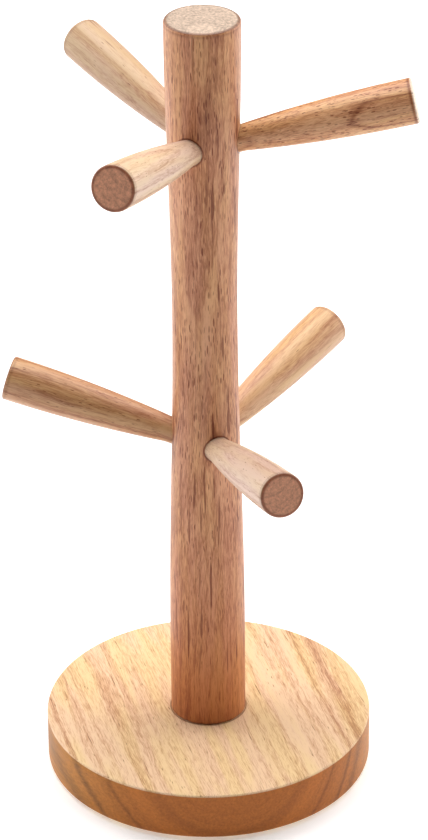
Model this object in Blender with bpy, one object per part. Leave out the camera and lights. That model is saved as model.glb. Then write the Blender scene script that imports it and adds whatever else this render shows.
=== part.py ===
"""Mug tree: a turned wooden post on a round base, with two tiers of three pegs to hang mugs from.

Metres, +Z up. The origin is the centre of the face that the mug tree stands on, and +X is the side
that both tiers of pegs are laid out from.
"""

from math import cos, pi, radians, sin, tau

import bmesh
import bpy
from mathutils import Vector

# Fits
GLUE_GAP = 0.0003  # between two wooden faces that meet, and all round a glued tenon
SCREW_CLEARANCE = 0.0004  # all round the screw, in the base and in the post

# Felt under the base
FELT_THICKNESS = 0.0012
FELT_INSET = 0.010  # from the base's rim

# Base
BASE_DIAMETER = 0.140
BASE_THICKNESS = 0.0212
BASE_EDGE_RADIUS = 0.0008
RECESS_WALL_CLEARANCE = 0.001  # round the washer, in the recess under the base
RECESS_HEAD_CLEARANCE = 0.0012  # between the screw's head and the base's lower face

# Post, with its heights measured from the shoulder that stands on the base
POST_LENGTH = 0.3225
POST_FOOT_DIAMETER = 0.0321
POST_WAIST_DIAMETER = 0.0270
POST_TOP_DIAMETER = 0.0310
POST_FOOT_HEIGHT = 0.038  # straight length above the base
POST_WAIST_BELOW_TOP = 0.129
POST_TOP_EDGE_RADIUS = 0.0012
SPIGOT_DIAMETER = 0.020
SPIGOT_LENGTH = 0.008

# Pegs, with their reach measured along the peg from the post's axis
PEG_ROOT_DIAMETER = 0.0110
PEG_TIP_DIAMETER = 0.0187
PEG_BULGE = 0.0010  # how far the middle of the side stands out from a straight taper
PEG_REACH = 0.0871
PEG_INNER_END = 0.006
PEG_TIP_EDGE_RADIUS = 0.0009
UPPER_TIER_BELOW_TOP = 0.0551
TIER_SPACING = 0.1360
TIER_TWIST = radians(45.0)
PEGS_PER_TIER = 3

# Each peg's name, going round its tier against the clock, how far it was drilled off its third of the
# turn, and its rise above the horizontal. Angles are degrees.
UPPER_PEGS = (
    ("upper_peg_right", -6.0, 12.8),
    ("upper_peg_back_left", 0.0, 11.4),
    ("upper_peg_front_left", 0.0, 12.4),
)
LOWER_PEGS = (
    ("lower_peg_back_right", 0.0, 13.5),
    ("lower_peg_left", -2.5, 14.6),
    ("lower_peg_front_right", 0.0, 12.9),
)

# Screw and washer
SCREW_DIAMETER = 0.005
SCREW_LENGTH = 0.045  # below the head
SCREW_CORE_DIAMETER = 0.0034
SCREW_PITCH = 0.0028
SCREW_THREAD_LENGTH = 0.030
SCREW_TIP_LENGTH = 0.004
SCREW_HEAD_DIAMETER = 0.0098
SCREW_HEAD_HEIGHT = 0.0032
DRIVE_WIDTH = 0.0010
DRIVE_LENGTH = 0.0050
DRIVE_DEPTH = 0.0018
WASHER_DIAMETER = 0.0135
WASHER_THICKNESS = 0.0012

# Facets round each turned piece
BASE_SIDES = 72
POST_SIDES = 60
PEG_SIDES = 30
SCREW_SIDES = 14
THREAD_RINGS_PER_TURN = 6

# Places that follow from the sizes above
BASE_BOTTOM = FELT_THICKNESS + GLUE_GAP
BASE_TOP = BASE_BOTTOM + BASE_THICKNESS
POST_BOTTOM = BASE_TOP + GLUE_GAP
POST_TOP = POST_BOTTOM + POST_LENGTH
UPPER_TIER_Z = POST_TOP - UPPER_TIER_BELOW_TOP
LOWER_TIER_Z = UPPER_TIER_Z - TIER_SPACING
RECESS_DEPTH = RECESS_HEAD_CLEARANCE + SCREW_HEAD_HEIGHT + WASHER_THICKNESS + 2 * GLUE_GAP
RECESS_ROOF = BASE_BOTTOM + RECESS_DEPTH
WASHER_BOTTOM = RECESS_ROOF - GLUE_GAP - WASHER_THICKNESS
HEAD_TOP = WASHER_BOTTOM - GLUE_GAP
SCREW_TIP_Z = HEAD_TOP + SCREW_LENGTH
SHANK_HOLE_RADIUS = SCREW_DIAMETER / 2 + SCREW_CLEARANCE
PEG_HOLE_RADIUS = PEG_ROOT_DIAMETER / 2 + GLUE_GAP

WOOD_ROUGHNESS = 0.55


def clear_scene():
    for thing in list(bpy.data.objects):
        bpy.data.objects.remove(thing)


def material(name, colour, roughness, metallic=0.0):
    made = bpy.data.materials.new(name)
    made.use_nodes = True
    shader = made.node_tree.nodes["Principled BSDF"]
    shader.inputs["Base Color"].default_value = (*colour, 1.0)
    shader.inputs["Roughness"].default_value = roughness
    shader.inputs["Metallic"].default_value = metallic
    return made


def add_object(name, mesh, look=None):
    made = bpy.data.objects.new(name, mesh)
    bpy.context.scene.collection.objects.link(made)
    if look is not None:
        made.data.materials.append(look)
    return made


def finished_mesh(name, bm):
    bmesh.ops.remove_doubles(bm, verts=bm.verts, dist=1e-7)
    bmesh.ops.recalc_face_normals(bm, faces=bm.faces)
    mesh = bpy.data.meshes.new(name)
    bm.to_mesh(mesh)
    bm.free()
    mesh.shade_smooth()
    mesh.set_sharp_from_angle(angle=radians(35))
    return mesh


def turned(name, profile, sides, closed=False):
    """A solid of revolution about Z. profile is (radius, height) points, from axis to axis or a closed ring."""
    bm = bmesh.new()
    points = [bm.verts.new((radius, 0, height)) for radius, height in profile]
    ends = points[1:] + points[:1] if closed else points[1:]
    edges = [bm.edges.new(pair) for pair in zip(points, ends)]
    bmesh.ops.spin(
        bm, geom=points + edges, cent=(0, 0, 0), axis=(0, 0, 1), angle=tau, steps=sides, use_merge=True
    )
    return finished_mesh(name, bm)


def corner_arc(radius, height, edge_radius, start, steps=3):
    """Points of a rounded corner in a profile: its centre, its radius, and the angle where it starts."""
    return [
        (radius + edge_radius * cos(start + pi / 2 * step / steps),
         height + edge_radius * sin(start + pi / 2 * step / steps))
        for step in range(steps + 1)
    ]


def half_wave(start, end, share):
    """From start to end as share goes from 0 to 1, level at both ends."""
    return start + (end - start) * (1 - cos(pi * share)) / 2


def post_radius(height):
    """The post's radius at a height above its shoulder."""
    foot, waist, top = POST_FOOT_DIAMETER / 2, POST_WAIST_DIAMETER / 2, POST_TOP_DIAMETER / 2
    waist_height = POST_LENGTH - POST_WAIST_BELOW_TOP
    if height <= POST_FOOT_HEIGHT:
        return foot
    if height <= waist_height:
        return half_wave(foot, waist, (height - POST_FOOT_HEIGHT) / (waist_height - POST_FOOT_HEIGHT))
    return half_wave(waist, top, (height - waist_height) / POST_WAIST_BELOW_TOP)


def base_mesh():
    outer, edge = BASE_DIAMETER / 2, BASE_EDGE_RADIUS
    recess = WASHER_DIAMETER / 2 + RECESS_WALL_CLEARANCE
    socket = SPIGOT_DIAMETER / 2 + GLUE_GAP
    socket_floor = POST_BOTTOM - SPIGOT_LENGTH - GLUE_GAP
    profile = [
        (recess, BASE_BOTTOM),
        *corner_arc(outer - edge, BASE_BOTTOM + edge, edge, -pi / 2),
        *corner_arc(outer - edge, BASE_TOP - edge, edge, 0),
        (socket, BASE_TOP),
        (socket, socket_floor),
        (SHANK_HOLE_RADIUS, socket_floor),
        (SHANK_HOLE_RADIUS, RECESS_ROOF),
        (recess, RECESS_ROOF),
    ]
    return turned("base", profile, BASE_SIDES, closed=True)


def post_mesh(rings=12):
    """The post with its spigot and its pilot hole. Its heights start at the shoulder."""
    spigot_bottom = -SPIGOT_LENGTH
    pilot_top = SCREW_TIP_Z - POST_BOTTOM + SCREW_CLEARANCE
    edge = POST_TOP_EDGE_RADIUS
    side_length = POST_LENGTH - POST_FOOT_HEIGHT - edge
    heights = [POST_FOOT_HEIGHT + side_length * ring / rings for ring in range(rings)]
    profile = [
        (0, pilot_top),
        (SHANK_HOLE_RADIUS, pilot_top),
        (SHANK_HOLE_RADIUS, spigot_bottom),
        (SPIGOT_DIAMETER / 2, spigot_bottom),
        (SPIGOT_DIAMETER / 2, 0),
        (POST_FOOT_DIAMETER / 2, 0),
        *[(post_radius(height), height) for height in heights],
        *corner_arc(POST_TOP_DIAMETER / 2 - edge, POST_LENGTH - edge, edge, 0),
        (0, POST_LENGTH),
    ]
    return turned("post", profile, POST_SIDES)


def flare_start():
    """How far along a peg its side clears the mouth of its hole, for the peg and tier where that is furthest."""
    found = []
    for tier_z, pegs in ((UPPER_TIER_Z, UPPER_PEGS), (LOWER_TIER_Z, LOWER_PEGS)):
        radius = post_radius(tier_z - POST_BOTTOM)
        for _, _, rise_degrees in pegs:
            rise = radians(rise_degrees)
            found.append((radius + PEG_HOLE_RADIUS * sin(rise)) / cos(rise))
    return max(found) + GLUE_GAP


def peg_mesh(rings=7):
    """A peg along +Z, with the post's axis at its zero: a round tenon, a bulged taper and a flat end."""
    root, tip, edge = PEG_ROOT_DIAMETER / 2, PEG_TIP_DIAMETER / 2, PEG_TIP_EDGE_RADIUS
    start = flare_start()
    length = PEG_REACH - edge - start
    taper = []
    for ring in range(rings):
        share = ring / rings
        bulge = PEG_BULGE * 4 * share * (1 - share)
        taper.append((root + (tip - root) * share + bulge, start + length * share))
    profile = [
        (0, PEG_INNER_END),
        (root, PEG_INNER_END),
        *taper,
        *corner_arc(tip - edge, PEG_REACH - edge, edge, 0),
        (0, PEG_REACH),
    ]
    return turned("peg", profile, PEG_SIDES)


def peg_hole_mesh():
    """The drill's shape for one peg hole, along +Z from the post's axis and out past its side."""
    depth_start = PEG_INNER_END - GLUE_GAP
    reach = max(POST_FOOT_DIAMETER, POST_TOP_DIAMETER)
    profile = [(0, depth_start), (PEG_HOLE_RADIUS, depth_start), (PEG_HOLE_RADIUS, reach), (0, reach)]
    return turned("peg_hole", profile, PEG_SIDES)


def add_empty(name, height, turn):
    made = add_object(name, None)
    made.location.z = height
    made.rotation_euler.z = turn
    return made


def aim_peg(thing, tier, place, swing_degrees, rise_degrees):
    """Stands a +Z shape in its tier: the shape's axis leaves the post's axis outwards and upwards."""
    thing.parent = tier
    turn = place * tau / PEGS_PER_TIER + radians(swing_degrees)
    thing.rotation_euler = (0, pi / 2 - radians(rise_degrees), turn)


def cut(thing, cutter):
    cutter.hide_render = True
    cutter.display_type = "WIRE"
    boolean = thing.modifiers.new(cutter.name, "BOOLEAN")
    boolean.operation = "DIFFERENCE"
    boolean.object = cutter


def add_pegs(post):
    mesh = peg_mesh()
    hole = peg_hole_mesh()
    tiers = (("upper_tier", UPPER_TIER_Z, 0.0, UPPER_PEGS), ("lower_tier", LOWER_TIER_Z, TIER_TWIST, LOWER_PEGS))
    for tier_name, height, turn, pegs in tiers:
        tier = add_empty(tier_name, height, turn)
        for place, (name, swing_degrees, rise_degrees) in enumerate(pegs):
            peg = add_object(name, mesh.copy(), material(name, (0.62, 0.40, 0.24), WOOD_ROUGHNESS))
            aim_peg(peg, tier, place, swing_degrees, rise_degrees)
            drill = add_object(name + "_hole", hole)
            aim_peg(drill, tier, place, swing_degrees, rise_degrees)
            cut(post, drill)


def screw_mesh():
    """A pan-head wood screw, head down, with its head's upper face at zero and its point at +Z."""
    core, outer, head = SCREW_CORE_DIAMETER / 2, SCREW_DIAMETER / 2, SCREW_HEAD_DIAMETER / 2
    plain_end = SCREW_LENGTH - SCREW_THREAD_LENGTH
    tip_start = SCREW_LENGTH - SCREW_TIP_LENGTH
    step = SCREW_PITCH / THREAD_RINGS_PER_TURN
    bm = bmesh.new()

    def ring(height, radius_at):
        angles = [tau * side / SCREW_SIDES for side in range(SCREW_SIDES)]
        return [bm.verts.new((radius_at(a) * cos(a), radius_at(a) * sin(a), height)) for a in angles]

    def threaded(height):
        """The radius round a ring: a ridge that climbs one pitch a turn, and fades in and out."""
        fade = min(1, (height - plain_end) / SCREW_PITCH, (SCREW_LENGTH - height) / SCREW_TIP_LENGTH)
        body = core * min(1, (SCREW_LENGTH - height) / SCREW_TIP_LENGTH)

        def radius_at(angle):
            phase = (height / SCREW_PITCH - angle / tau) % 1.0
            return body + (outer - core) * max(0, fade) * max(0, 1 - abs(phase - 0.5) * 3)

        return radius_at

    dome = [(head * sin(pi / 2 * i / 5), -SCREW_HEAD_HEIGHT * cos(pi / 2 * i / 5)) for i in range(1, 6)]
    rings = [ring(height, lambda _, r=radius: r) for radius, height in dome]
    rings.append(ring(0, lambda _: core))
    rings.append(ring(plain_end, lambda _: core))
    height = plain_end + step
    while height < SCREW_LENGTH - step:
        rings.append(ring(height, threaded(height)))
        height += step
    for lower, upper in zip(rings, rings[1:]):
        for side in range(SCREW_SIDES):
            after = (side + 1) % SCREW_SIDES
            bm.faces.new((lower[side], lower[after], upper[after], upper[side]))
    for end, pole in ((rings[0], -SCREW_HEAD_HEIGHT), (rings[-1], SCREW_LENGTH)):
        centre = bm.verts.new((0, 0, pole))
        for side in range(SCREW_SIDES):
            bm.faces.new((end[side], end[(side + 1) % SCREW_SIDES], centre))
    return finished_mesh("base_screw", bm)


def add_drive(screw):
    """The cross recess in the screw's head."""
    for name, turn in (("drive_slot_1", 0.0), ("drive_slot_2", pi / 2)):
        bm = bmesh.new()
        bmesh.ops.create_cube(bm, size=1.0)
        bmesh.ops.scale(bm, vec=Vector((DRIVE_LENGTH, DRIVE_WIDTH, 2 * DRIVE_DEPTH)), verts=bm.verts)
        slot = add_object(name, finished_mesh(name, bm))
        slot.location.z = -SCREW_HEAD_HEIGHT
        slot.rotation_euler.z = turn
        slot.parent = screw
        cut(screw, slot)


def build():
    clear_scene()
    add_object("base", base_mesh(), material("base", (0.78, 0.57, 0.34), WOOD_ROUGHNESS))

    post = add_object("post", post_mesh(), material("post", (0.46, 0.25, 0.14), WOOD_ROUGHNESS))
    post.location.z = POST_BOTTOM
    add_pegs(post)

    screw = add_object("base_screw", screw_mesh(), material("base_screw", (0.62, 0.62, 0.60), 0.35, 1.0))
    screw.location.z = HEAD_TOP
    add_drive(screw)

    hole = SHANK_HOLE_RADIUS
    rim = WASHER_DIAMETER / 2
    ring = [(hole, 0), (rim, 0), (rim, WASHER_THICKNESS), (hole, WASHER_THICKNESS)]
    washer = add_object("screw_washer", turned("screw_washer", ring, PEG_SIDES, closed=True),
                        material("screw_washer", (0.70, 0.70, 0.68), 0.30, 1.0))
    washer.location.z = WASHER_BOTTOM

    felt_rim = BASE_DIAMETER / 2 - FELT_INSET
    felt = [(0, 0), (felt_rim, 0), (felt_rim, FELT_THICKNESS), (0, FELT_THICKNESS)]
    add_object("felt_disc", turned("felt_disc", felt, BASE_SIDES), material("felt_disc", (0.10, 0.07, 0.05), 0.95))


build()
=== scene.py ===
"""Looks of the mug tree: solid wood cut from the stick or board that each piece came from.

Laid out as an add-on and run as a script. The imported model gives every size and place.
"""

from math import cos, pi, radians, sin, tau
from typing import NamedTuple

import bmesh
import bpy
import numpy as np
from bpy.props import FloatProperty, FloatVectorProperty, PointerProperty
from mathutils import Matrix, Vector


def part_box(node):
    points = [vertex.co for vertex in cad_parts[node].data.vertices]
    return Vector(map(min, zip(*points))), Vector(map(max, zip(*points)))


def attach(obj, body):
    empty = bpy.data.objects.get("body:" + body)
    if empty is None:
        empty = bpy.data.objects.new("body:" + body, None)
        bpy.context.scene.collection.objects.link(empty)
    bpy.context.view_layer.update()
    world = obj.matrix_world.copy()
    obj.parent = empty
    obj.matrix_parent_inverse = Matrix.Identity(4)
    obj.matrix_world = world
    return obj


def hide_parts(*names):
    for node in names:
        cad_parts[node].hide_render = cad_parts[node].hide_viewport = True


bl_info = {
    "name": "Wooden mug tree",
    "version": (1, 0, 0),
    "blender": (4, 5, 0),
    "location": "3D View > Sidebar > Mug Tree",
    "description": "Builds the fine surfaces and the wood of a turned mug tree round its packed frame",
    "category": "Add Mesh",
}

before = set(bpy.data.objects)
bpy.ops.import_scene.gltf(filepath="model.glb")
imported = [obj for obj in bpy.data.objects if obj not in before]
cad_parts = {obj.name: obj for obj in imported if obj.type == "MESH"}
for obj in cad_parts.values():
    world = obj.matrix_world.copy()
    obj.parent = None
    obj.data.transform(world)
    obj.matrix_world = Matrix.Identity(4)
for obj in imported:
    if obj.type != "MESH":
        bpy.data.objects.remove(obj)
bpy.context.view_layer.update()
BODY = "root"
MM = 0.001
OPAQUE_WHITE = (1, 1, 1, 1)


# ---------------------------------------------------------------- places read from the frame


def axis_of(node):
    """A turned piece's own frame: its zero on the post's axis, and +Z along the piece, outwards."""
    corners = np.array([vertex.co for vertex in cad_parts[node].data.vertices])
    corners = np.unique(corners.round(6), axis=0)
    centre = corners.mean(axis=0)
    direction = Vector(np.linalg.svd(corners - centre)[2][0])
    if direction.dot(Vector((centre[0], centre[1], 0))) < 0:
        direction.negate()
    flat = Vector((direction.x, direction.y))
    along = Vector((centre[0], centre[1])).length / flat.length
    start = Vector((0, 0, centre[2] - direction.z * along))
    turn = direction.to_2d().angle_signed(Vector((1, 0)))
    tip = direction.angle(Vector((0, 0, 1)))
    return Matrix.Translation(start) @ Matrix.Rotation(turn, 4, "Z") @ Matrix.Rotation(tip, 4, "Y")


def reach_of(node, place):
    """How far a piece goes along its own +Z, nearest and furthest."""
    inverse = place.inverted()
    heights = [(inverse @ vertex.co).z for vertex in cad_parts[node].data.vertices]
    return min(heights), max(heights)


PEG_NAMES = sorted(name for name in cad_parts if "_peg_" in name)
PEG_PLACES = {name: axis_of(name) for name in PEG_NAMES}
PEG_INNER_END, PEG_REACH = reach_of(PEG_NAMES[0], PEG_PLACES[PEG_NAMES[0]])
BASE_LOW, BASE_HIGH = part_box("base")
POST_LOW, POST_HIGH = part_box("post")
FELT_LOW, FELT_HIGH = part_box("felt_disc")
_, WASHER_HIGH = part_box("screw_washer")
SEAM = BASE_LOW.z - FELT_HIGH.z

SPIGOT_RADIUS = 0.010  # the post's, in the base's socket
SHANK_HOLE_RADIUS = 0.0029  # in the base, round the screw
RECESS_CLEARANCE = 0.001  # round the washer, in the base
FOOT_EDGE = 0.0002  # bevel round the post's foot
PEG_TAPER_START = 0.0167  # from the post's axis, past the mouth of the peg's hole
DRILL_END = 0.03  # from the post's axis, clear of the post
FELT_HALF_STRAIGHT = 0.00005  # half of the side left straight between the felt's rounded edges


# ---------------------------------------------------------------- what a user would change


class MugTreeSizes(bpy.types.PropertyGroup):
    base_edge: FloatProperty(name="Base edge radius", default=0.0008, unit="LENGTH",
                             description="Rounding of the base's two rims")
    post_waist: FloatProperty(name="Post waist diameter", default=0.0270, unit="LENGTH",
                              description="Thinnest part of the post")
    post_top: FloatProperty(name="Post top diameter", default=0.0310, unit="LENGTH",
                            description="Post's upper end")
    post_foot_height: FloatProperty(name="Post foot height", default=0.038, unit="LENGTH",
                                    description="Straight length above the base")
    post_waist_drop: FloatProperty(name="Post waist below top", default=0.129, unit="LENGTH",
                                   description="How far the waist is below the post's upper end")
    post_edge: FloatProperty(name="Post top edge radius", default=0.0012, unit="LENGTH",
                             description="Rounding of the post's upper rim")
    peg_root: FloatProperty(name="Peg root diameter", default=0.0110, unit="LENGTH",
                            description="Where the peg goes into the post")
    peg_tip: FloatProperty(name="Peg tip diameter", default=0.0187, unit="LENGTH",
                           description="Peg's free end")
    peg_bulge: FloatProperty(name="Peg bulge", default=0.0010, unit="LENGTH",
                             description="How far the peg's side stands out from a straight taper")
    peg_edge: FloatProperty(name="Peg edge radius", default=0.0009, unit="LENGTH",
                            description="Rounding of the peg's free end")
    glue_line: FloatProperty(name="Glue line", default=0.00016, unit="LENGTH",
                             description="Gap that shows round each peg at the post")


class MugTreeWood(bpy.types.PropertyGroup):
    pale: FloatVectorProperty(name="Pale wood", subtype="COLOR", default=(0.80, 0.56, 0.33),
                              description="Wood between the growth rings")
    tan: FloatVectorProperty(name="Tan wood", subtype="COLOR", default=(0.56, 0.30, 0.155),
                             description="Darkest of the growth rings")
    dark: FloatVectorProperty(name="Dark wood", subtype="COLOR", default=(0.27, 0.105, 0.045),
                              description="Figure and streaks darker than the rings")
    # This colour is also multiplied in for the painted seam shade and the painted shade at turned ends.
    pore: FloatVectorProperty(name="Pores", subtype="COLOR", default=(0.40, 0.23, 0.15),
                              description="How far open pores darken the wood round them")
    roughness: FloatProperty(name="Lacquer roughness", default=0.46, min=0, max=1,
                             description="Roughness of the satin lacquer")


class MugTreeStage(bpy.types.PropertyGroup):
    floor_colour: FloatVectorProperty(name="Floor", subtype="COLOR", default=(0.94, 0.94, 0.94),
                                      description="Colour of the plain floor")
    view_azimuth: FloatProperty(name="View azimuth", default=radians(-5.9), subtype="ANGLE",
                                description="Turn of the camera round the post from looking along +Y")
    view_pitch: FloatProperty(name="View pitch", default=radians(29.18), subtype="ANGLE",
                              description="How far the camera looks down")
    view_roll: FloatProperty(name="View roll", default=radians(-0.47), subtype="ANGLE",
                             description="Turn of the camera about its own line of sight")
    view_distance: FloatProperty(name="View distance", default=1.4067, unit="LENGTH",
                                 description="Camera to the post's axis, along the floor")
    view_height: FloatProperty(name="View height", default=0.9499, unit="LENGTH",
                               description="Camera above the floor")
    view_yaw: FloatProperty(name="View yaw", default=radians(0.14), subtype="ANGLE",
                            description="How far the camera looks to the right of the post's axis")
    lens: FloatProperty(name="Lens", default=165.5, description="Focal length in millimetres")
    top_light: FloatProperty(name="Top light", default=19.0, unit="POWER",
                             description="Large soft light overhead")
    side_light: FloatProperty(name="Side lights", default=12.0, unit="POWER",
                              description="Soft lights at the left and the right")
    world_light: FloatProperty(name="Surrounding light", default=0.04,
                               description="Strength of the white surroundings")


# ---------------------------------------------------------------- small helpers for node trees


def feed(tree, socket, value):
    """Sets an input to a value, or links it to a socket."""
    if isinstance(value, bpy.types.NodeSocket):
        tree.links.new(value, socket)
    else:
        socket.default_value = value


def feed_named(tree, made, values):
    """Sets or links a node's inputs, by name."""
    for name, value in values.items():
        feed(tree, made.inputs[name], value)


def add_node(tree, kind, *values, **settings):
    """A new node with its settings, and its inputs in order. None leaves an input as it is."""
    made = tree.nodes.new(kind)
    for name, value in settings.items():
        setattr(made, name, value)
    for socket, value in zip(made.inputs, values):
        if value is not None:
            feed(tree, socket, value)
    return made


def calc(tree, operation, *values):
    return add_node(tree, "ShaderNodeMath", *values, operation=operation).outputs[0]


def vector_calc(tree, operation, *values):
    made = add_node(tree, "ShaderNodeVectorMath", *values, operation=operation)
    return made.outputs["Value" if operation in {"LENGTH", "DOT_PRODUCT"} else "Vector"]


def blend(tree, share, first, second, how="MIX"):
    """One colour from two, by share."""
    made = add_node(tree, "ShaderNodeMix", data_type="RGBA", blend_type=how)
    for identifier, value in (("Factor_Float", share), ("A_Color", first), ("B_Color", second)):
        feed(tree, next(s for s in made.inputs if s.identifier == identifier), value)
    return next(s for s in made.outputs if s.identifier == "Result_Color")


def span(tree, value, low, high, smooth=True):
    """0 at low and 1 at high, and level beyond them."""
    made = add_node(tree, "ShaderNodeMapRange", value, low, high, 0.0, 1.0)
    made.interpolation_type = "SMOOTHSTEP" if smooth else "LINEAR"
    return made.outputs[0]


def noise(tree, scale, detail=2.0, roughness=0.5, dimensions="3D", **place):
    """Noise at a Vector or, with one dimension, at W."""
    made = add_node(tree, "ShaderNodeTexNoise", noise_dimensions=dimensions)
    feed_named(tree, made, {"Scale": scale, "Detail": detail, "Roughness": roughness, **place})
    return made.outputs


def centred(tree, value, swing):
    """A noise's value, 0 to 1, as a swing to either side of zero."""
    return calc(tree, "MULTIPLY_ADD", value, swing, -swing / 2)


def hump(tree, away, height, onto):
    """Adds a smooth hump, height high where away is 0, to onto."""
    rise = calc(tree, "EXPONENT", calc(tree, "MULTIPLY", calc(tree, "POWER", away, 2.0), -1.0))
    return calc(tree, "MULTIPLY_ADD", rise, height, onto)


def sockets(kind, *names):
    """Sockets of one kind, as group_of takes them."""
    return [(name, "NodeSocket" + kind) for name in names]


def group_of(name, kind, inputs, outputs):
    """An empty node group: its tree, what it is given and what it has to fill.

    A socket is (name, type), and a default where nothing sets it.
    """
    tree = bpy.data.node_groups.new(name, kind)
    for direction, listed in (("INPUT", inputs), ("OUTPUT", outputs)):
        for socket_name, socket_kind, *default in listed:
            socket = tree.interface.new_socket(socket_name, in_out=direction, socket_type=socket_kind)
            if default:
                socket.default_value = default[0]
    return tree, tree.nodes.new("NodeGroupInput").outputs, tree.nodes.new("NodeGroupOutput").inputs


def shared(name, builder):
    """The node group of that name, built the first time that it is asked for."""
    return bpy.data.node_groups.get(name) or builder(name)


def group_node(tree, name, builder, values):
    """The outputs of a node of a shared group, with each named input linked or set."""
    made = tree.nodes.new("ShaderNodeGroup")
    made.node_tree = shared(name, builder)
    feed_named(tree, made, values)
    return made.outputs


def new_material(name):
    """A material, its node tree and its shader."""
    material = bpy.data.materials.new(name)
    material.use_nodes = True
    tree = material.node_tree
    return material, tree, tree.nodes["Principled BSDF"]


def bumped(tree, shader, values):
    """Roughens a shader's surface with a Bump node that has these inputs."""
    bump = tree.nodes.new("ShaderNodeBump")
    feed_named(tree, bump, values)
    tree.links.new(bump.outputs[0], shader.inputs["Normal"])


def place_in_mm(tree, place=None):
    """A place on the piece, by default in its own frame, in millimetres."""
    place = place or tree.nodes.new("ShaderNodeTexCoord").outputs["Object"]
    return vector_calc(tree, "SCALE", place, None, None, 1 / MM)


# ---------------------------------------------------------------- turned solids, by Geometry Nodes

MERGE_DISTANCE = 2e-7
SHORTEST_EDGE = 1e-7
SHARP_FROM = radians(32)


def turning_tree(name):
    """Turns a profile, a chain of points from axis to axis in the XZ plane, into a closed solid."""
    tree, given, result = group_of(
        name,
        "GeometryNodeTree",
        [*sockets("Geometry", "Profile"), *sockets("Int", "Sides"), *sockets("Material", "Material"),
         ("Merge Distance", "NodeSocketFloat", 1e-7)],
        sockets("Geometry", "Solid"),
    )
    size = add_node(tree, "GeometryNodeAttributeDomainSize", given["Profile"])
    round_count = calc(tree, "ADD", given["Sides"], 1.0)
    grid = add_node(tree, "GeometryNodeMeshGrid", 1.0, 1.0, size.outputs["Point Count"], round_count)
    index = add_node(tree, "GeometryNodeInputIndex").outputs[0]
    ring = calc(tree, "FLOOR", calc(tree, "DIVIDE", calc(tree, "ADD", index, 0.5), round_count))
    side = calc(tree, "SUBTRACT", index, calc(tree, "MULTIPLY", ring, round_count))
    angle = calc(tree, "MULTIPLY", calc(tree, "DIVIDE", side, given["Sides"]), tau)
    profile_place = add_node(tree, "GeometryNodeSampleIndex", data_type="FLOAT_VECTOR")
    tree.links.new(given["Profile"], profile_place.inputs["Geometry"])
    place = add_node(tree, "GeometryNodeInputPosition").outputs[0]
    tree.links.new(place, next(s for s in profile_place.inputs if s.name == "Value" and s.enabled))
    tree.links.new(ring, profile_place.inputs["Index"])
    parts = add_node(tree, "ShaderNodeSeparateXYZ", profile_place.outputs[0]).outputs
    across = calc(tree, "MULTIPLY", parts["X"], calc(tree, "COSINE", angle))
    along = calc(tree, "MULTIPLY", parts["X"], calc(tree, "SINE", angle))
    turned_place = add_node(tree, "ShaderNodeCombineXYZ", across, along, parts["Z"]).outputs[0]
    shaped = add_node(tree, "GeometryNodeSetPosition", grid.outputs["Mesh"], None, turned_place)
    merged = add_node(tree, "GeometryNodeMergeByDistance", shaped.outputs[0])
    tree.links.new(given["Merge Distance"], merged.inputs["Distance"])
    realised = add_node(tree, "GeometryNodeRealizeInstances", merged.outputs[0])
    painted = add_node(tree, "GeometryNodeSetMaterial", realised.outputs[0], None, given["Material"])
    tree.links.new(painted.outputs[0], result["Solid"])
    return tree


def turned(name, profile, place, material, sides):
    """A turned solid as a plain mesh with its place in its mesh. The profile runs from axis to axis."""
    tree = shared("Turned from a profile", turning_tree)
    chain = bpy.data.meshes.new(name + "_profile")
    chain.from_pydata([(x, 0, z) for x, z in profile], [(i, i + 1) for i in range(len(profile) - 1)], [])
    holder = bpy.data.objects.new(name + "_profile", chain)
    bpy.context.scene.collection.objects.link(holder)
    modifier = holder.modifiers.new("Turn", "NODES")
    modifier.node_group = tree
    named = {item.name: item.identifier for item in tree.interface.items_tree if item.in_out == "INPUT"}
    modifier[named["Sides"]] = sides
    modifier[named["Material"]] = material
    graph = bpy.context.evaluated_depsgraph_get()
    mesh = bpy.data.meshes.new_from_object(holder.evaluated_get(graph))
    bpy.data.objects.remove(holder)
    bpy.data.meshes.remove(chain)
    mesh.name = name
    mesh.transform(place)
    piece = bpy.data.objects.new(name, mesh)
    bpy.context.scene.collection.objects.link(piece)
    close_and_smooth(piece)
    return piece


def close_and_smooth(piece):
    """Merges a turned solid's poles and seam, and shades it smooth up to its sharp edges."""
    bm = bmesh.new()
    bm.from_mesh(piece.data)
    bmesh.ops.remove_doubles(bm, verts=bm.verts, dist=MERGE_DISTANCE)
    bmesh.ops.dissolve_degenerate(bm, edges=bm.edges, dist=SHORTEST_EDGE)
    bmesh.ops.recalc_face_normals(bm, faces=bm.faces)
    bm.to_mesh(piece.data)
    bm.free()
    piece.data.shade_smooth()
    piece.data.set_sharp_from_angle(angle=SHARP_FROM)


def corner(radius, height, edge, start, steps=6):
    """Points round a corner of a profile: its centre, its radius, and the angle where it starts."""
    return [
        (radius + edge * cos(start + pi / 2 * i / steps), height + edge * sin(start + pi / 2 * i / steps))
        for i in range(steps + 1)
    ]


def line(first, last, steps):
    """Points from first up to, but without, last."""
    return [
        (first[0] + (last[0] - first[0]) * i / steps, first[1] + (last[1] - first[1]) * i / steps)
        for i in range(steps)
    ]


# ---------------------------------------------------------------- wood

# The painted shade in the seam round a fitted piece, partly a glue line: how far out its middle is, its
# width and its share.
SEAM_SHADE_MIDDLE = 0.0003
SEAM_SHADE_WIDTH = 0.0003
SEAM_SHADE_SHARE = 0.95

# Painted shade darkens a turned end's edge. In millimetres: where that fades out and where it is full,
# across the end and down the side, and a painted shade line on the side, below the end.
EDGE_SHADE_ACROSS = (1.9, 0.9)
EDGE_SHADE_DOWN = (0.9, 0.2)
SHADE_LINE_BELOW = 1.35
SHADE_LINE_WIDTH = 0.65

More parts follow.
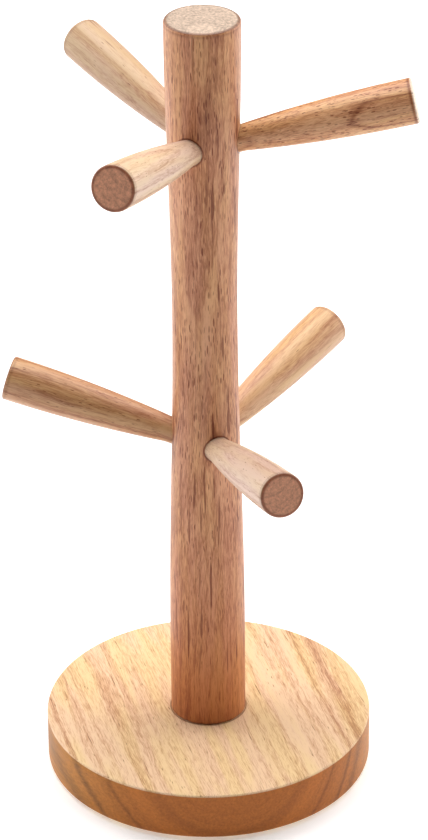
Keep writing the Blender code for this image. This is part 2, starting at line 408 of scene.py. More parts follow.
# Satin lacquer, and how deep the grain can be felt in it.
LACQUER_SPECULAR = 0.35
LACQUER_COAT = 0.15
LACQUER_COAT_ROUGHNESS = 0.3
ROUGHNESS_SWING = (-0.06, 0.16)
GRAIN_STRENGTH = 0.35
GRAIN_DEPTH = 0.00012

# How far each unit of a stick's seed moves it through the noise.
SEED_STEP = (31.7, 17.3, 53.1)

# How nearly a board's edge faces along the grain where the side's colour ends and where the end's begins.
SIDE_TO_END = (0.2, 0.95)

# Width and length of the features of each layer of grain, in millimetres.
BROAD = (9.0, 120.0)
STREAK = (1.5, 42.0)
FIBRE = (0.42, 6.0)
CAST = (7.0, 60.0)
CROWD = (6.0, 22.0)
PORE_CELL = (1.35, 9.5)
HAIRLINE_CELL = (2.0, 44.0)
FLECK_CELL_WIDTH = 0.8
END_DOT = (0.85, 400.0)
END_MOTTLE = (1.15, 400.0)
RING_WAVES = ((14.0, 70.0, 3.4), (4.5, 14.0, 1.4))  # and how far each wave swings a ring

# Rings: how unevenly they are spaced, how late in its ring the wood darkens and where its dark part ends.
RING_UNEVENNESS = 1.6
RING_LATENESS = 2.2
RING_END = 0.93

# How far each layer swings the share of the darker tone, before the stick's own strengths.
RING_SWING = 2.2
LATE_WOOD_SWING = 0.8
BROAD_SWING = 1.1
STREAK_SWING = 3.6
FIBRE_SWING = 3.4
MOTTLE_SWING = 2.4

# The two casts that the wood drifts between, golden and pinkish.
GOLDEN = (1.02, 1.0, 0.90, 1)
PINKISH = (1.02, 0.965, 1.03, 1)

# Widest share of its cell that a mark of each kind fills, and how soft its edge is.
WIDEST_PORE = 0.24
WIDEST_FLECK = 0.36
WIDEST_HAIRLINE = 0.22
MARK_SOFTNESS = 0.06


class Knot(NamedTuple):
    """A place where the growth rings swerve, in the piece's own millimetres."""

    place: tuple
    size: tuple
    push: float = 0.0
    shade: float = 0.0


class Band(NamedTuple):
    """Wood darker or paler than the rest at one distance from the pith, in millimetres."""

    radius: float
    width: float
    shade: float


class Stick(NamedTuple):
    """The wood that one piece was cut from, in its own frame: millimetres, with the grain along +Z.

    pith is the rings' centre at height 0, and lean how far it moves for each millimetre up. depth is the
    share of the darker tone that all the wood has. rings to mottle are strengths of the layers of grain.
    cut is how nearly a surface faces along the grain where it begins to look like end grain and where it
    fully does. gloss scales the lacquer's shine. rim and lip set the painted shade of a turned end: round
    its edge, and in a line on the side below it. From the lower height of foot to the upper one, foot_tint
    gives way to the stick's own tint.
    """

    seed: float
    pith: tuple
    lean: tuple = (0.0, 0.0)
    ring: float = 5.0
    depth: float = 0.5
    rings: float = 0.8
    streaks: float = 0.6
    fibres: float = 0.8
    pores: float = 0.6
    flecks: float = 0.5
    hairlines: float = 0.4
    arcs: float = 0.35
    mottle: float = 0.6
    fleck_length: float = 3.8
    tint: tuple = (1.0, 1.0, 1.0)
    end: tuple = (0.56, 0.27, 0.16)
    side: tuple = ()
    cut: tuple = (0.55, 0.95)
    gloss: float = 1.0
    rim: float = 0.8
    lip: float = 0.36
    foot: tuple = (-2000.0, -1000.0)
    foot_tint: tuple = (1.0, 1.0, 1.0)
    bands: tuple = ()
    knots: tuple = ()


def ring_tree(name):
    """Distance from the pith in millimetres. The rings are wavy cylinders round a pith that may lean."""
    tree, given, result = group_of(
        name,
        "ShaderNodeTree",
        sockets("Vector", "Place")
        + sockets("Float", "Swerve", "Seed", "Pith X", "Pith Y", "Lean X", "Lean Y"),
        sockets("Float", "Distance") + sockets("Vector", "Waved Place"),
    )
    shift = vector_calc(tree, "SCALE", SEED_STEP, None, None, given["Seed"])
    seeded = vector_calc(tree, "ADD", given["Place"], shift)
    waved = given["Place"]
    for across, along, swing in RING_WAVES:
        wave_place = vector_calc(tree, "DIVIDE", seeded, (across, across, along))
        wave = noise(tree, 1.0, Vector=wave_place)["Color"]
        wave = vector_calc(tree, "MULTIPLY_ADD", wave, (swing, swing, 0.0), (-swing / 2, -swing / 2, 0.0))
        waved = vector_calc(tree, "ADD", waved, wave)
    waved_parts = add_node(tree, "ShaderNodeSeparateXYZ", waved).outputs
    height = add_node(tree, "ShaderNodeSeparateXYZ", given["Place"]).outputs["Z"]
    squares = []
    for axis in ("X", "Y"):
        pith = calc(tree, "MULTIPLY_ADD", height, given[f"Lean {axis}"], given[f"Pith {axis}"])
        squares.append(calc(tree, "POWER", calc(tree, "SUBTRACT", waved_parts[axis], pith), 2.0))
    distance = calc(tree, "ADD", calc(tree, "SQRT", calc(tree, "ADD", *squares)), given["Swerve"])
    tree.links.new(distance, result["Distance"])
    tree.links.new(vector_calc(tree, "ADD", waved, shift), result["Waved Place"])
    return tree


def wood_tree(name):
    """Solid wood: growth rings, fibre streaks, open pores, flecks, and end grain where it is cut across."""
    tree, given, result = group_of(
        name,
        "ShaderNodeTree",
        sockets("Vector", "Place")
        + sockets("Float", "Distance", "Across", "Seed", "Ring Width", "Depth", "Figure", "Rings", "Streaks",
                  "Fibres", "Pores", "Flecks", "Fleck Length", "Hairlines", "Arcs", "Mottle")
        + sockets("Color", "Pale", "Tan", "Dark", "Pore Colour", "End Grain"),
        sockets("Color", "Colour") + sockets("Float", "Height", "Gloss Break"),
    )

    def stretched(across, along):
        """The place in units of a grain feature that wide and that long, in millimetres."""
        return vector_calc(tree, "DIVIDE", given["Place"], (across, across, along))

    def grain(across, along, **settings):
        return noise(tree, 1.0, Vector=stretched(across, along), **settings)[0]

    # A ring darkens slowly outwards and ends sharply. No two are as wide or as dark.
    turns = calc(tree, "ADD", calc(tree, "DIVIDE", given["Distance"], given["Ring Width"]), given["Seed"])
    uneven = noise(tree, 0.9, detail=1.0, dimensions="1D", W=turns)[0]
    ring_phase = calc(tree, "FRACT", calc(tree, "MULTIPLY_ADD", uneven, RING_UNEVENNESS, turns))
    ring_end = span(tree, ring_phase, 1.0, RING_END)
    late_wood = calc(tree, "MULTIPLY", calc(tree, "POWER", ring_phase, RING_LATENESS), ring_end)
    band = noise(tree, 1.7, dimensions="1D", W=turns)[0]

    # Each layer of grain swings the share of the darker tone.
    streak = grain(*STREAK, detail=3.0, roughness=0.6)
    fibre = grain(*FIBRE, detail=3.0, roughness=0.65)
    rings = calc(tree, "MULTIPLY_ADD", late_wood, LATE_WOOD_SWING, centred(tree, band, RING_SWING))
    broad = centred(tree, grain(*BROAD), BROAD_SWING)
    share = calc(tree, "ADD", calc(tree, "MULTIPLY", rings, given["Rings"]), broad)
    fine = calc(tree, "ADD", calc(tree, "MULTIPLY", centred(tree, streak, STREAK_SWING), given["Streaks"]),
                calc(tree, "MULTIPLY", centred(tree, fibre, FIBRE_SWING), given["Fibres"]))
    share = calc(tree, "ADD", calc(tree, "ADD", share, fine), given["Depth"])
    share = calc(tree, "ADD", share, given["Figure"])
    share_held = calc(tree, "SMOOTH_MAX", calc(tree, "SMOOTH_MIN", share, 1.0, 0.2), -0.15, 0.3)
    body = blend(tree, share_held, given["Pale"], given["Tan"])
    body = blend(tree, span(tree, share, 0.8, 2.2, smooth=False), body, given["Dark"])
    cast = span(tree, grain(*CAST, detail=1.0), 0.35, 0.65)
    body = blend(tree, 1.0, body, blend(tree, cast, GOLDEN, PINKISH), "MULTIPLY")

    # Open pores are slender cells along the grain, flecks are short ones and hairlines long thin ones.
    # All of them crowd together in places.
    crowded = span(tree, grain(*CROWD), 0.25, 0.52)
    fleck_size = add_node(tree, "ShaderNodeCombineXYZ", FLECK_CELL_WIDTH, FLECK_CELL_WIDTH,
                          given["Fleck Length"]).outputs[0]
    fleck_place = vector_calc(tree, "DIVIDE", given["Place"], fleck_size)
    pore = 0.0
    for cell_place, widest, amount in (
        (stretched(*PORE_CELL), WIDEST_PORE, given["Pores"]),
        (fleck_place, WIDEST_FLECK, given["Flecks"]),
        (stretched(*HAIRLINE_CELL), WIDEST_HAIRLINE, given["Hairlines"]),
    ):
        cells = add_node(tree, "ShaderNodeTexVoronoi", cell_place, None, 1.0)
        chance = add_node(tree, "ShaderNodeSeparateXYZ", cells.outputs["Color"]).outputs["X"]
        size = calc(tree, "MULTIPLY", crowded, calc(tree, "MULTIPLY_ADD", chance, 0.7, 0.3))
        wide = calc(tree, "MULTIPLY", size, calc(tree, "MULTIPLY", amount, widest))
        outside = calc(tree, "SUBTRACT", cells.outputs["Distance"], wide)
        mark = span(tree, outside, MARK_SOFTNESS, -MARK_SOFTNESS)
        mark = calc(tree, "MULTIPLY", mark, calc(tree, "MULTIPLY_ADD", chance, 0.75, 0.2))
        pore = calc(tree, "MAXIMUM", pore, mark)
    pored = blend(tree, pore, body, given["Pore Colour"], "MULTIPLY")

    # Cut across, the rings are thin arcs and the pores are dots.
    cut = add_node(tree, "ShaderNodeTexVoronoi", stretched(*END_DOT), None, 1.0).outputs["Distance"]
    dots = span(tree, cut, 0.32, 0.12)
    arcs = calc(tree, "MULTIPLY", calc(tree, "MULTIPLY_ADD", late_wood, 0.9, band), given["Rings"])
    arcs = calc(tree, "MULTIPLY", calc(tree, "MULTIPLY_ADD", given["Figure"], 2.0, arcs), given["Arcs"])
    mottle = centred(tree, grain(*END_MOTTLE, detail=3.0, roughness=0.65), MOTTLE_SWING)
    mottle = calc(tree, "MULTIPLY", mottle, given["Mottle"])
    spotted = calc(tree, "MULTIPLY_ADD", dots, -0.16, mottle)
    shade = calc(tree, "ADD", calc(tree, "SUBTRACT", 1.18, arcs), spotted)
    shade_colour = add_node(tree, "ShaderNodeCombineXYZ", shade, shade, shade).outputs[0]
    end = blend(tree, 1.0, given["End Grain"], shade_colour, "MULTIPLY")
    tree.links.new(blend(tree, given["Across"], pored, end), result["Colour"])
    tree.links.new(calc(tree, "SUBTRACT", calc(tree, "MULTIPLY", fibre, 0.25), pore), result["Height"])
    gloss_break = calc(tree, "MULTIPLY_ADD", streak, 0.6, calc(tree, "MULTIPLY", pore, 0.5))
    tree.links.new(gloss_break, result["Gloss Break"])
    return tree


def knotted(tree, place, knots):
    """How far the knots push the rings, and how much they darken the wood."""
    swerve, figure = 0.0, 0.0
    for knot in knots:
        offset = vector_calc(tree, "SUBTRACT", place, knot.place)
        away = vector_calc(tree, "LENGTH", vector_calc(tree, "DIVIDE", offset, knot.size))
        swerve = hump(tree, away, knot.push, swerve)
        figure = hump(tree, away, knot.shade, figure)
    return swerve, figure


def seam_shade_and_glue(tree, place, fitted):
    """Share of the painted shade in the seam round each fitted piece, partly a glue line, on the side that
    it comes out of.
    """
    share = 0.0
    for point, direction, radius in fitted:
        offset = vector_calc(tree, "SUBTRACT", place, tuple(point))
        out = vector_calc(tree, "LENGTH", vector_calc(tree, "CROSS_PRODUCT", offset, tuple(direction)))
        ahead = vector_calc(tree, "DOT_PRODUCT", offset, tuple(direction))
        away = calc(tree, "DIVIDE", calc(tree, "SUBTRACT", out, radius + SEAM_SHADE_MIDDLE), SEAM_SHADE_WIDTH)
        in_front = span(tree, ahead, 0.0, MM, smooth=False)
        ring = calc(tree, "MULTIPLY", hump(tree, away, SEAM_SHADE_SHARE, 0.0), in_front)
        share = calc(tree, "MAXIMUM", share, ring)
    return share


def end_edge_shade(tree, local, height, radius, stick):
    """Share of the painted shade at the edge of a turned end that lies at that height and has that radius,
    and in a line below it.
    """
    out = calc(tree, "SQRT", calc(tree, "ADD", calc(tree, "POWER", local["X"], 2.0),
                                  calc(tree, "POWER", local["Y"], 2.0)))
    across = span(tree, out, radius - EDGE_SHADE_ACROSS[0], radius - EDGE_SHADE_ACROSS[1])
    down = span(tree, local["Z"], height - EDGE_SHADE_DOWN[0], height - EDGE_SHADE_DOWN[1])
    edge = calc(tree, "MULTIPLY", calc(tree, "MULTIPLY", across, down), stick.rim)
    below = calc(tree, "DIVIDE", calc(tree, "SUBTRACT", local["Z"], height - SHADE_LINE_BELOW), SHADE_LINE_WIDTH)
    return calc(tree, "MAXIMUM", edge, hump(tree, below, stick.lip, 0.0))


def wood(name, stick, grain_place, rim=None, face=None, fitted=()):
    """A piece's wood. grain_place puts the stick's own frame in the world.

    rim is a turned end as (height, radius), in the stick's frame and in millimetres; painted shade darkens
    its edge. A board has a face,
    the way that its flat sides look: all round its rim the wood is darker, partly end grain that takes up
    lacquer and partly painted shade.
    fitted are the round pieces that go into this one, each as (a point on its axis, direction, radius).
    """
    material, tree, shader = new_material(name)
    tones = bpy.context.scene.mug_tree_wood
    tint = Vector(stick.tint)
    pale, tan, dark = [(*(Vector(tone) * tint), 1) for tone in (tones.pale, tones.tan, tones.dark)]
    pore = (*tones.pore, 1)

    coordinates = tree.nodes.new("ShaderNodeTexCoord").outputs
    location, rotation, _ = grain_place.decompose()
    mapping = add_node(tree, "ShaderNodeMapping", coordinates["Object"], tuple(location),
                       tuple(rotation.to_euler()), vector_type="TEXTURE")
    place = place_in_mm(tree, mapping.outputs[0])
    local = add_node(tree, "ShaderNodeSeparateXYZ", place).outputs

    grain = tuple(grain_place.to_3x3() @ Vector((0, 0, 1)))
    facing = calc(tree, "ABSOLUTE", vector_calc(tree, "DOT_PRODUCT", coordinates["Normal"], grain))
    end = (*stick.end, 1)
    if face:
        end = blend(tree, span(tree, facing, *SIDE_TO_END), (*stick.side, 1), end)
        flat = calc(tree, "ABSOLUTE", vector_calc(tree, "DOT_PRODUCT", coordinates["Normal"], face))
        facing = calc(tree, "SUBTRACT", 1.0, flat)

    swerve, figure = knotted(tree, place, stick.knots)
    rings = group_node(tree, "Growth rings", ring_tree, {
        "Place": place, "Swerve": swerve, "Seed": stick.seed,
        "Pith X": stick.pith[0], "Pith Y": stick.pith[1],
        "Lean X": stick.lean[0], "Lean Y": stick.lean[1],
    })
    for band in stick.bands:
        away = calc(tree, "DIVIDE", calc(tree, "SUBTRACT", rings["Distance"], band.radius), band.width)
        figure = hump(tree, away, band.shade, figure)
    above_foot = span(tree, local["Z"], *stick.foot)
    body = group_node(tree, "Solid wood", wood_tree, {
        "Place": rings["Waved Place"], "Distance": rings["Distance"],
        "Across": span(tree, facing, *stick.cut),
        "Seed": stick.seed, "Ring Width": stick.ring, "Depth": stick.depth, "Figure": figure,
        "Rings": stick.rings, "Streaks": stick.streaks, "Fibres": stick.fibres, "Pores": stick.pores,
        "Flecks": calc(tree, "MULTIPLY", above_foot, stick.flecks), "Fleck Length": stick.fleck_length,
        "Hairlines": stick.hairlines, "Arcs": stick.arcs, "Mottle": stick.mottle,
        "Pale": pale, "Tan": tan, "Dark": dark, "Pore Colour": pore, "End Grain": end,
    })

    foot_tint = blend(tree, above_foot, (*stick.foot_tint, 1), OPAQUE_WHITE)
    colour = blend(tree, 1.0, body["Colour"], foot_tint, "MULTIPLY")
    # Painted shade in the seam round each fitted piece, partly a glue line.
    if fitted:
        colour = blend(tree, seam_shade_and_glue(tree, coordinates["Object"], fitted), colour, pore, "MULTIPLY")
    # Painted shade at a turned end's edge and in a line on the side below it.
    if rim:
        colour = blend(tree, end_edge_shade(tree, local, *rim, stick), colour, pore, "MULTIPLY")
    rough = add_node(tree, "ShaderNodeMapRange", body["Gloss Break"], 0.0, 1.0,
                     *(tones.roughness + swing for swing in ROUGHNESS_SWING))
    feed_named(tree, shader, {
        "Base Color": colour,
        "Roughness": rough.outputs[0],
        "Specular IOR Level": LACQUER_SPECULAR * stick.gloss,
        "Coat Weight": LACQUER_COAT * stick.gloss,
        "Coat Roughness": LACQUER_COAT_ROUGHNESS,
    })
    bumped(tree, shader, {"Strength": GRAIN_STRENGTH, "Distance": GRAIN_DEPTH, "Height": body["Height"]})
    return material


def grain_frame(origin, turn=0.0, lay=0.0):
    """Where a stick's own frame lies: its +Z laid down by lay, then turned about the world's Z."""
    return Matrix.Translation(origin) @ Matrix.Rotation(turn, 4, "Z") @ Matrix.Rotation(lay, 4, "Y")


# The board's grain runs across the base, and its pith lay above it: the rings cup upwards.
BASE_GRAIN_TURN = radians(99.0)
# The dark end and side colours on the board's rim are partly end grain under lacquer and partly painted
# shade.
BASE_STICK = Stick(
    seed=3.1, pith=(-37.0, 8.0), ring=7.5, depth=0.12,
    rings=0.4, streaks=0.35, fibres=1.0, pores=0.5, flecks=0.1, hairlines=0.6, arcs=0.3, mottle=0.35,
    tint=(1.10, 1.16, 1.18), end=(0.43, 0.13, 0.022), side=(0.46, 0.18, 0.026), cut=(0.62, 0.97), gloss=0.5,
    bands=(Band(34.0, 2.0, 0.25), Band(50.0, 0.9, 0.6), Band(59.4, 0.9, 0.65), Band(66.0, 2.6, 0.55),
           Band(42.0, 3.0, -0.25)),
)
# The pith comes near the post's front at the top and leans back below, which draws a tongue of paler wood.
POST_STICK = Stick(
    seed=1.7, pith=(-1.4, -10.7), lean=(0.0, -0.052), ring=6.0, depth=0.52,
    rings=0.6, streaks=0.6, fibres=1.1, pores=0.7, flecks=1.0, fleck_length=6.0, hairlines=1.6,
    arcs=0.2, mottle=0.9, tint=(0.95, 0.735, 0.65), end=(0.47, 0.35, 0.265),
    bands=(Band(3.0, 2.6, -0.5), Band(6.1, 0.4, 0.4), Band(7.4, 0.5, 0.35), Band(8.9, 0.5, 0.2),
           Band(11.5, 1.4, 0.1)),
    knots=(Knot((0.5, -14.5, -69.0), (1.8, 4.0, 3.0), 1.5, 0.25),
           Knot((-2.0, -15.0, -38.0), (4.5, 6.0, 11.0), 0.0, 0.4)),
    foot=(-322.0, -190.0), foot_tint=(0.84, 0.60, 0.38),
)
PEG_STICKS = {
    # rim=0.0 leaves this peg's edge unshaded. Its pale end colour, which its cut spreads over the rounded
    # edge, is a painted highlight from the right light, and its strong lip line below the end is painted
    # shade.
    "upper_peg_right": Stick(
        seed=5.2, pith=(-1.0, 9.6), lean=(0.0, -0.21), ring=5.5, depth=0.62,
        rings=0.4, streaks=0.4, fibres=1.0, pores=0.8, flecks=1.1, fleck_length=2.6,
        tint=(1.04, 0.91, 0.78), end=(0.80, 0.62, 0.48), cut=(0.08, 0.4), rim=0.0, lip=0.85,
        bands=(Band(6.0, 0.22, 1.0), Band(11.5, 0.4, 0.5)),
    ),
    "upper_peg_back_left": Stick(
        seed=7.9, pith=(16.0, 25.0), ring=6.0, depth=0.2,
        rings=0.5, streaks=0.5, pores=0.45, flecks=0.2, hairlines=0.8, tint=(0.71, 0.70, 0.74),
        bands=(Band(22.0, 1.6, 0.5), Band(38.0, 5.0, -0.25)),
    ),
    "upper_peg_front_left": Stick(
        seed=2.4, pith=(-22.0, 14.0), ring=4.0, depth=0.18,
        rings=0.6, streaks=0.45, pores=0.4, flecks=0.5, tint=(0.92, 0.97, 1.15), end=(0.60, 0.275, 0.160),
    ),
    "lower_peg_back_right": Stick(
        seed=9.3, pith=(-18.0, -30.0), ring=4.5, depth=0.25,
        rings=0.6, streaks=0.5, pores=0.5, flecks=0.2, hairlines=0.9, tint=(0.90, 0.83, 0.78),
    ),
    "lower_peg_left": Stick(
        seed=4.6, pith=(14.0, -20.0), lean=(0.0, 0.05), ring=5.0, depth=0.42,
        rings=0.7, streaks=0.7, pores=0.6, flecks=0.7, tint=(0.82, 0.71, 0.63),
    ),
    "lower_peg_front_right": Stick(
        seed=6.8, pith=(-26.0, -12.0), ring=4.2, depth=0.15,
        rings=0.6, streaks=0.45, pores=0.4, flecks=0.5, tint=(0.86, 0.90, 1.12), end=(0.60, 0.275, 0.160),
    ),
}


# ---------------------------------------------------------------- pieces

FELT_TONES = ((0.045, 0.028, 0.018, 1), (0.13, 0.085, 0.055, 1))
ZINC_TONES = ((0.52, 0.53, 0.54, 1), (0.74, 0.73, 0.70, 1))
ZINC_ROUGHNESS = (0.24, 0.42)


def take_place(piece, node):
    """Puts a finished piece in the place of its node, on the one body."""
    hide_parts(node)
    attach(piece, BODY)


def half_wave(start, end, share):
    """From start to end as share goes from 0 to 1, level at both."""
    return start + (end - start) * (1 - cos(pi * share)) / 2


def post_radius(sizes, height, length):
    """The post's radius at a height above the base: a straight foot, a waist and a wider top."""
    foot, waist, top = POST_HIGH.x, sizes.post_waist / 2, sizes.post_top / 2
    waist_height = length - sizes.post_waist_drop
    if height <= sizes.post_foot_height:
        return foot
    if height <= waist_height:
        risen = height - sizes.post_foot_height
        return half_wave(foot, waist, risen / (waist_height - sizes.post_foot_height))
    return half_wave(waist, top, (height - waist_height) / sizes.post_waist_drop)


class MUGTREE_OT_base(bpy.types.Operator):
    """Turn the base, with its socket for the post and its recess for the screw"""

    bl_idname = "mugtree.base"
    bl_label = "Base"

    def execute(self, context):
        edge = context.scene.mug_tree_sizes.base_edge
        rim, bottom, top = BASE_HIGH.x, BASE_LOW.z, BASE_HIGH.z
        recess, recess_roof = WASHER_HIGH.x + RECESS_CLEARANCE, WASHER_HIGH.z + SEAM
        socket, socket_floor = SPIGOT_RADIUS + SEAM, POST_LOW.z - SEAM
        profile = [
            (SHANK_HOLE_RADIUS, recess_roof),
            *line((recess, recess_roof), (recess, bottom), 2),
            *line((recess, bottom), (rim - edge, bottom), 12),
            *corner(rim - edge, bottom + edge, edge, -pi / 2),
            *line((rim, bottom + edge), (rim, top - edge), 8)[1:],
            *corner(rim - edge, top - edge, edge, 0),
            *line((rim - edge, top), (socket, top), 14)[1:],
            (socket, top), (socket, socket_floor), (SHANK_HOLE_RADIUS, socket_floor),
            (SHANK_HOLE_RADIUS, recess_roof),
        ]
        up = (0, 0, 1)
        look = wood("base_wood", BASE_STICK, grain_frame((0, 0, 0), BASE_GRAIN_TURN, pi / 2), face=up,
                    fitted=[((0, 0, 0), up, POST_HIGH.x)])
        piece = turned("base_board", profile, Matrix.Identity(4), look, sides=256)
        take_place(piece, "base")
        return {"FINISHED"}


class MUGTREE_OT_post(bpy.types.Operator):
    """Turn the waisted post and drill its six peg holes"""

    bl_idname = "mugtree.post"
    bl_label = "Post"

    def execute(self, context):
        sizes = context.scene.mug_tree_sizes
        foot, foot_z, spigot_end = POST_HIGH.x, BASE_HIGH.z + SEAM, POST_LOW.z
        length = POST_HIGH.z - foot_z
        edge, rings = sizes.post_edge, 120
        side = length - edge
        top = sizes.post_top / 2
        profile = [
            (0, spigot_end - foot_z), (SPIGOT_RADIUS, spigot_end - foot_z), (SPIGOT_RADIUS, 0),
            (foot - FOOT_EDGE, 0), (foot, FOOT_EDGE),
            *[(post_radius(sizes, side * i / rings, length), side * i / rings) for i in range(1, rings)],
            *corner(top - edge, length - edge, edge, 0),
            *line((top - edge, length), (0, length), 6)[1:],
            (0, length),
        ]
        drill_radius = sizes.peg_root / 2 + sizes.glue_line
        pegs = [(place.to_translation(), place.to_3x3() @ Vector((0, 0, 1)), drill_radius)
                for place in PEG_PLACES.values()]
        look = wood("post_wood", POST_STICK, grain_frame((0, 0, POST_HIGH.z)), rim=(0.0, top / MM),
                    fitted=pegs)
        piece = turned("turned_post", profile, Matrix.Translation((0, 0, foot_z)), look, sides=160)
        drill_start = PEG_INNER_END - SEAM
        drill = [(0, drill_start), (drill_radius, drill_start), (drill_radius, DRILL_END), (0, DRILL_END)]
        for name in PEG_NAMES:
            cutter = turned(name + "_drill", drill, PEG_PLACES[name], look, sides=64)
            boolean = piece.modifiers.new(cutter.name, "BOOLEAN")
            boolean.object = cutter
            graph = context.evaluated_depsgraph_get()
            cut = bpy.data.meshes.new_from_object(piece.evaluated_get(graph))
            piece.modifiers.clear()
            piece.data = cut
            bpy.data.objects.remove(cutter)
        close_and_smooth(piece)
        take_place(piece, "post")
        return {"FINISHED"}


class MUGTREE_OT_pegs(bpy.types.Operator):
    """Turn the six tapered pegs"""

    bl_idname = "mugtree.pegs"
    bl_label = "Pegs"

    def execute(self, context):
        sizes = context.scene.mug_tree_sizes
        root, tip, edge = sizes.peg_root / 2, sizes.peg_tip / 2, sizes.peg_edge
        length, rings = PEG_REACH - edge - PEG_TAPER_START, 40
        taper = []
        for i in range(rings):
            share = i / rings
            bulge = sizes.peg_bulge * 4 * share * (1 - share)
            taper.append((root + (tip - root) * share + bulge, PEG_TAPER_START + length * share))
        profile = [
            (0, PEG_INNER_END),
            *line((root, PEG_INNER_END), (root, PEG_TAPER_START), 4),
            *taper,
            *corner(tip - edge, PEG_REACH - edge, edge, 0),
            *line((tip - edge, PEG_REACH), (0, PEG_REACH), 5)[1:],
            (0, PEG_REACH),
        ]
        for name in PEG_NAMES:
            place = PEG_PLACES[name]
            look = wood(name + "_wood", PEG_STICKS[name], place, rim=(PEG_REACH / MM, tip / MM))
            piece = turned("turned_" + name, profile, place, look, sides=96)
            take_place(piece, name)
        return {"FINISHED"}


class MUGTREE_OT_felt(bpy.types.Operator):
    """Make the felt disc that the base stands on"""

    bl_idname = "mugtree.felt"
    bl_label = "Felt disc"

    def execute(self, context):
        material, tree, shader = new_material("pressed_felt")
        fuzz = noise(tree, 2.2, detail=5.0, roughness=0.7, Vector=place_in_mm(tree))[0]
        colour = blend(tree, span(tree, fuzz, 0.3, 0.7), *FELT_TONES)
        feed_named(tree, shader, {"Base Color": colour, "Roughness": 0.95, "Sheen Weight": 0.4})
        bumped(tree, shader, {"Distance": 0.0003, "Height": fuzz})
        rim, bottom, top = FELT_HIGH.x, FELT_LOW.z, FELT_HIGH.z
        soft = (top - bottom) / 2 - FELT_HALF_STRAIGHT
        profile = [
            *line((0, bottom), (rim - soft, bottom), 10),
            *corner(rim - soft, bottom + soft, soft, -pi / 2),
            *corner(rim - soft, top - soft, soft, 0),
            *line((rim - soft, top), (0, top), 10)[1:],
            (0, top),
        ]
        piece = turned("felt_pad", profile, Matrix.Identity(4), material, sides=192)
        take_place(piece, "felt_disc")
        return {"FINISHED"}


class MUGTREE_OT_fixings(bpy.types.Operator):
    """Give the screw and its washer a zinc-plated finish"""

    bl_idname = "mugtree.fixings"
    bl_label = "Screw and washer"

    def execute(self, context):
        material, tree, shader = new_material("zinc_plate")
        bloom = noise(tree, 0.7, detail=4.0, roughness=0.6, Vector=place_in_mm(tree))[0]
        feed_named(tree, shader, {
            "Base Color": blend(tree, bloom, *ZINC_TONES),
            "Roughness": add_node(tree, "ShaderNodeMapRange", bloom, 0.3, 0.7, *ZINC_ROUGHNESS).outputs[0],
            "Metallic": 1.0,
        })
        for name in ("base_screw", "screw_washer"):
            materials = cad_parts[name].data.materials
            materials.clear()
            materials.append(material)
        return {"FINISHED"}


# ---------------------------------------------------------------- stage

FLOOR_HALF_SIDE = 6.0
FLOOR_GAP = 0.0001  # under the felt

# The floor stays white where the lights don't reach: its glow at two distances from the post.
GLOW_DISTANCES = (0.6, 2.0)
GLOW_STRENGTHS = (0.3, 0.92)

SEEN_WHITE = 0.96  # how bright the surroundings look to the camera

# Lights: places to the right, back and up as the camera looks, and sizes. All aim at the post's middle.
TOP_LIGHT_PLACE = (0, 0.32, 1.3)
TOP_LIGHT_SIZE = (1.1, 1.1)
SIDE_LIGHT_PLACE = (1.05, 0.5, 0.6)
SIDE_LIGHT_SIZE = (1.1, 1.0)
SIDE_LIGHTS = (("left_light", -1, 0.95), ("right_light", 1, 0.85))  # name, side, share of the power


def soft_light(name, location, target, size, power):
    """Adds a rectangular light that aims at target."""
    light = bpy.data.lights.new(name, "AREA")
    light.shape = "RECTANGLE"
    light.size, light.size_y = size
    light.energy = power
    lamp = bpy.data.objects.new(name, light)
    bpy.context.scene.collection.objects.link(lamp)
    lamp.location = location
    lamp.rotation_mode = "QUATERNION"
    lamp.rotation_quaternion = (Vector(target) - lamp.location).to_track_quat("-Z", "Y")


def white_floor(colour):
    """Adds a plain floor just under the felt."""
    bm = bmesh.new()
    bmesh.ops.create_grid(bm, x_segments=1, y_segments=1, size=FLOOR_HALF_SIDE)
    mesh = bpy.data.meshes.new("floor")
    bm.to_mesh(mesh)
    bm.free()
    material, tree, shader = new_material("floor")
    away = vector_calc(tree, "LENGTH", tree.nodes.new("ShaderNodeTexCoord").outputs["Object"])
    glow = add_node(tree, "ShaderNodeMapRange", away, *GLOW_DISTANCES, *GLOW_STRENGTHS)
    feed_named(tree, shader, {
        "Base Color": (*colour, 1), "Roughness": 0.9, "Specular IOR Level": 0.1,
        "Emission Color": OPAQUE_WHITE, "Emission Strength": glow.outputs[0],
    })
    mesh.materials.append(material)
    floor = bpy.data.objects.new("floor", mesh)
    floor.location.z = FELT_LOW.z - FLOOR_GAP
    bpy.context.scene.collection.objects.link(floor)


def white_room(light):
    """Surroundings that look white whatever light they give."""
    world = bpy.data.worlds.new("white_room")
    world.use_nodes = True
    tree = world.node_tree
    seen = tree.nodes.new("ShaderNodeLightPath").outputs["Is Camera Ray"]
    feed_named(tree, tree.nodes["Background"], {
        "Color": OPAQUE_WHITE,
        "Strength": calc(tree, "MULTIPLY_ADD", seen, SEEN_WHITE - light, light),
    })
    bpy.context.scene.world = world


def place_camera(stage):
    """Adds the camera, by its distance and height from the post's foot and by where it looks."""
    camera = bpy.data.cameras.new("camera")
    camera.lens = stage.lens
    camera.sensor_width = 36.0
    camera.clip_start, camera.clip_end = 0.05, 50
    viewer = bpy.data.objects.new("camera", camera)
    bpy.context.scene.collection.objects.link(viewer)
    viewer.matrix_world = (
        Matrix.Rotation(stage.view_azimuth, 4, "Z")
        @ Matrix.Translation((0, -stage.view_distance, stage.view_height))
        @ Matrix.Rotation(-stage.view_yaw, 4, "Z")
        @ Matrix.Rotation(pi / 2 - stage.view_pitch, 4, "X")
        @ Matrix.Rotation(stage.view_roll, 4, "Z")
    )
    bpy.context.scene.camera = viewer


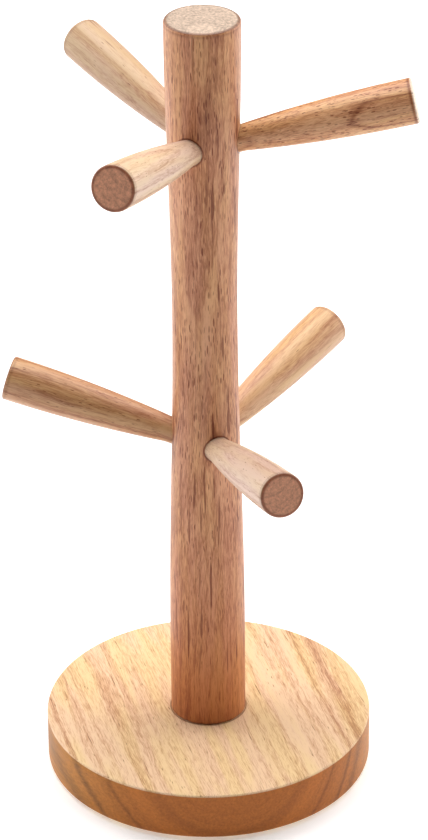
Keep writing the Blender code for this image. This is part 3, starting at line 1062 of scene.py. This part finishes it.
class MUGTREE_OT_stage(bpy.types.Operator):
    """Set the plain floor, the soft lights and the camera"""

    bl_idname = "mugtree.stage"
    bl_label = "Stage"

    def execute(self, context):
        stage = context.scene.mug_tree_stage
        white_floor(stage.floor_colour)
        white_room(stage.world_light)
        middle = (0, 0, POST_HIGH.z / 2)
        turn = Matrix.Rotation(stage.view_azimuth, 3, "Z")
        soft_light("top_light", turn @ Vector(TOP_LIGHT_PLACE), middle, TOP_LIGHT_SIZE, stage.top_light)
        across, back, up = SIDE_LIGHT_PLACE
        for name, side, share in SIDE_LIGHTS:
            place = turn @ Vector((across * side, back, up))
            soft_light(name, place, middle, SIDE_LIGHT_SIZE, stage.side_light * share)
        place_camera(stage)
        context.scene.view_settings.view_transform = "Standard"
        return {"FINISHED"}


class MUGTREE_PT_panel(bpy.types.Panel):
    """Lists the sizes, the wood, the stage and the operators that use them"""

    bl_idname = "MUGTREE_PT_panel"
    bl_label = "Mug Tree"
    bl_space_type = "VIEW_3D"
    bl_region_type = "UI"
    bl_category = "Mug Tree"

    def draw(self, context):
        for settings in ("mug_tree_sizes", "mug_tree_wood", "mug_tree_stage"):
            group = getattr(context.scene, settings)
            box = self.layout.box()
            for name in group.__annotations__:
                box.prop(group, name)
        for operator in OPERATORS:
            self.layout.operator(operator.bl_idname)


OPERATORS = (
    MUGTREE_OT_base, MUGTREE_OT_post, MUGTREE_OT_pegs, MUGTREE_OT_felt, MUGTREE_OT_fixings, MUGTREE_OT_stage,
)
GROUPS = {"mug_tree_sizes": MugTreeSizes, "mug_tree_wood": MugTreeWood, "mug_tree_stage": MugTreeStage}
CLASSES = (*GROUPS.values(), *OPERATORS, MUGTREE_PT_panel)


def register():
    for made in CLASSES:
        bpy.utils.register_class(made)
    for name, group in GROUPS.items():
        setattr(bpy.types.Scene, name, PointerProperty(type=group))


def unregister():
    for name in GROUPS:
        delattr(bpy.types.Scene, name)
    for made in reversed(CLASSES):
        bpy.utils.unregister_class(made)


def main():
    register()
    for operator in OPERATORS:
        group, name = operator.bl_idname.split(".")
        getattr(getattr(bpy.ops, group), name)()


if __name__ == "__main__":
    main()
